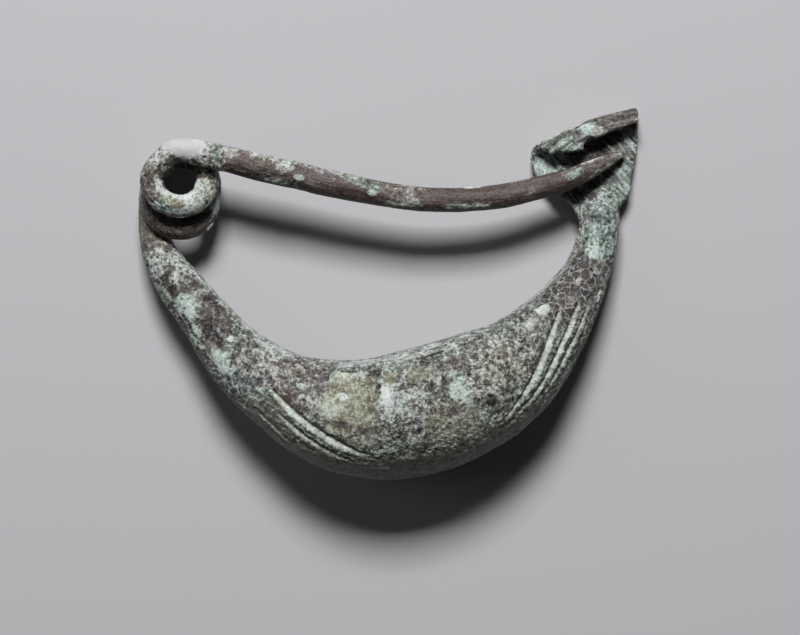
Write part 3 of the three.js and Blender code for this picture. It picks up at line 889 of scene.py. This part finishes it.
def paintBronze(material):
    tree = material.node_tree
    tree.nodes.clear()
    loose = looseColours
    spot, straight = attribute(tree, "spot", "Vector"), attribute(tree, "straight", "Vector")
    field = {name: attribute(tree, name) for name in (*fields, "grooveLit", "grooveLow", "grooveShade")}
    rough = 1.0 - field["calm"]
    build, hollow, veinGap = patches(tree, spot, straight, field, weather["seed"])

    def cloud(scale, detail, roughness, seed, place=spot):
        return spread(noise(tree, place, scale, detail, roughness, seed))

    fine = cloud(3.2, 3.0, 0.7, 1.0)
    speck = cloud(7.0, 2.0, 0.7, 2.0)
    broad = cloud(0.35, 3.0, 0.6, 3.0)
    streak = cloud(1.0, 4.0, 0.7, 5.0, straight.vector("MULTIPLY", (0.4, 4.0, 4.0)))
    texture = fine + (streak - fine) * field["stripe"] * 0.6

    # how built up the surface is, in full detail
    detail = ((texture - 0.5) * 0.75 + (speck - 0.5) * 0.5) * (rough * 0.9 + 0.1)
    full = build * 0.7 + 0.15 + detail * 0.7
    pore = (hollow + (fine - 0.5) * 0.8).between(0.3, 1.0) * (rough * 0.5 + 0.5)
    full = full - pore * 0.25
    lit, low, shade = field["grooveLit"], field["grooveLow"], field["grooveShade"]
    # painted highlight builds the crust up on the lit groove wall, painted shade thins it on the steep wall, and the
    # brown strip is thinned a little
    full = full + lit * 0.48 - low * 0.12 - shade * 0.15
    hue = (broad * 0.6 + cloud(1.1, 3.0, 0.6, 8.0) * 0.4).between(0.3, 0.7)
    colour = mixed(tree, hue, ramp(tree, full, bronzeColours["violet"]), ramp(tree, full, bronzeColours["brown"]))
    for name in ("olive", "copper", "green"):
        share = (field[name] + (broad - 0.5) * 0.4 * field[name].between(0.0, 0.3)).between(0.0, 0.95, smooth=False)
        colour = mixed(tree, share, colour, ramp(tree, full, bronzeColours[name]))
    slab = mixed(tree, (cloud(0.9, 4.0, 0.7, 6.0) + (speck - 0.5) * 0.5).between(0.1, 0.9), loose["slabWorn"], loose["slab"])
    colour = mixed(tree, field["calm"].between(0.75, 0.95), colour, slab)

    # veins, glinting grains, pores
    vein = (1.0 - (veinGap + (speck - 0.5) * 0.03).between(0.015, 0.1)) * field["net"] * build.between(-0.3, 0.1)
    colour = mixed(tree, vein * 0.95, colour, loose["vein"])
    grain = addNode(tree, "ShaderNodeTexVoronoi", {"Vector": spot, "Scale": 2.0})
    grains = (1.0 - Flow(tree, grain.outputs["Distance"]).between(0.12, 0.3)) * fine.between(0.4, 0.7) * rough
    colour = mixed(tree, grains * 0.55, colour, loose["glint"])
    pits = (1.0 - cloud(2.8, 3.0, 0.7, 9.0)).between(0.72, 0.95) * (rough * 0.7 + 0.1)
    colour = mixed(tree, pits * 0.85, colour, loose["pore"])

    # the walls of the grooves: painted highlight on the gentle wall that faces the light, a brown strip beyond it,
    # painted shade on the steep wall
    colour = mixed(tree, lit * 0.65, colour, loose["paintedGrooveHighlight"])
    colour = mixed(tree, low * 0.55, colour, loose["grooveBrown"])
    colour = mixed(tree, shade * 0.5, colour, loose["paintedGrooveShade"])

    sheen = mixedNumber(tree, full.between(0.3, 0.7), 0.42, 0.8)
    height = full + grains * 0.3 - pits * 0.6 + vein * 0.5
    bump = addNode(tree, "ShaderNodeBump", {"Height": height, "Distance": 0.00016, "Strength": 1.0})
    shader = addNode(tree, "ShaderNodeBsdfPrincipled", {
        "Base Color": colour, "Roughness": sheen, "Normal": bump.outputs[0],
        "Specular IOR Level": 0.45,
    })
    addNode(tree, "ShaderNodeOutputMaterial", {"Surface": shader.outputs[0]})


def mixedNumber(tree, share, first, second):
    node = addNode(tree, "ShaderNodeMix", data_type="FLOAT")
    for socket, value in zip(node.inputs[:4], (share, None, first, second)):
        if value is not None:
            plug(tree, socket, value)
    return Flow(tree, node.outputs[0])


bronze = bpy.data.materials.new("oldBronze")
bronze.use_nodes = True
paintBronze(bronze)

wire = makeWire(bronze)
plate = makePlate()
print("wire and plate drawn")
lines = makeGrooveLines()
shell = fuse(wire, plate)
print("fused", len(shell.data.vertices))
surveyed = newObject("surveyed", runTree(shell, surveyTree(bronze), Wire=wire, Sheet=plate, Seed=3.0))
paint(surveyed.data)
print("patina laid out")
brooch = newObject("brooch_bronze", runTree(
    surveyed, weatherTree(bronze), Grooves=lines, Waves=weather["waves"], Lumps=weather["lumps"],
    Crust=weather["crust"], Hollows=weather["hollows"], Veins=weather["veins"], Lift=weather["lift"],
    Burr=weather["burr"], Seed=weather["seed"]))
discard(wire, plate, lines, shell, surveyed)
brooch = thinOut(brooch)
layDown(brooch.data)
brooch.data.materials.clear()
brooch.data.materials.append(bronze)
brooch.data.polygons.foreach_set("use_smooth", np.ones(len(brooch.data.polygons), bool))
print("weathered", len(brooch.data.vertices), len(brooch.data.polygons), [a.name for a in brooch.data.attributes])

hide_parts("brooch")
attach(brooch, "root")


# ---- floor, lights and camera

studio = {
    "floorSide": 3.0,
    "floorColour": (0.50, 0.49, 0.51, 1),
    "camera": (0.001574, -0.003514, 0.3782),
    "lens": 119.9,
}


def addLight(name, place, size, watts, colour=(1, 1, 1)):
    lamp = bpy.data.lights.new(name, "AREA")
    lamp.shape = "RECTANGLE"
    lamp.size, lamp.size_y = size
    lamp.energy = watts
    lamp.color = colour
    holder = bpy.data.objects.new(name, lamp)
    bpy.context.scene.collection.objects.link(holder)
    holder.location = place
    holder.rotation_euler = (-Vector(place)).to_track_quat("-Z", "Y").to_euler()
    return holder


side = studio["floorSide"] / 2
floor = newObject("floor", newMesh(
    "floor", [(-side, -side, 0), (side, -side, 0), (side, side, 0), (-side, side, 0)], faces=[(0, 1, 2, 3)]))
paper = bpy.data.materials.new("palePaper")
paper.use_nodes = True
paper.node_tree.nodes["Principled BSDF"].inputs["Base Color"].default_value = studio["floorColour"]
paper.node_tree.nodes["Principled BSDF"].inputs["Roughness"].default_value = 0.9
floor.data.materials.append(paper)

addLight("softboxBehind", (-0.03, 0.50, 0.60), (0.26, 0.20), 7.4)
addLight("softboxLeft", (-0.7, 0.1, 0.5), (0.4, 0.4), 0.35)

world = bpy.data.worlds.new("room")
world.use_nodes = True
world.node_tree.nodes["Background"].inputs["Color"].default_value = (1, 1, 1, 1)
world.node_tree.nodes["Background"].inputs["Strength"].default_value = 0.02
bpy.context.scene.world = world
bpy.context.scene.view_settings.view_transform = "Standard"

lens = bpy.data.cameras.new("camera")
lens.lens = studio["lens"]
lens.clip_start, lens.clip_end = 0.01, 10
camera = bpy.data.objects.new("camera", lens)
bpy.context.scene.collection.objects.link(camera)
camera.location = studio["camera"]
bpy.context.scene.camera = camera
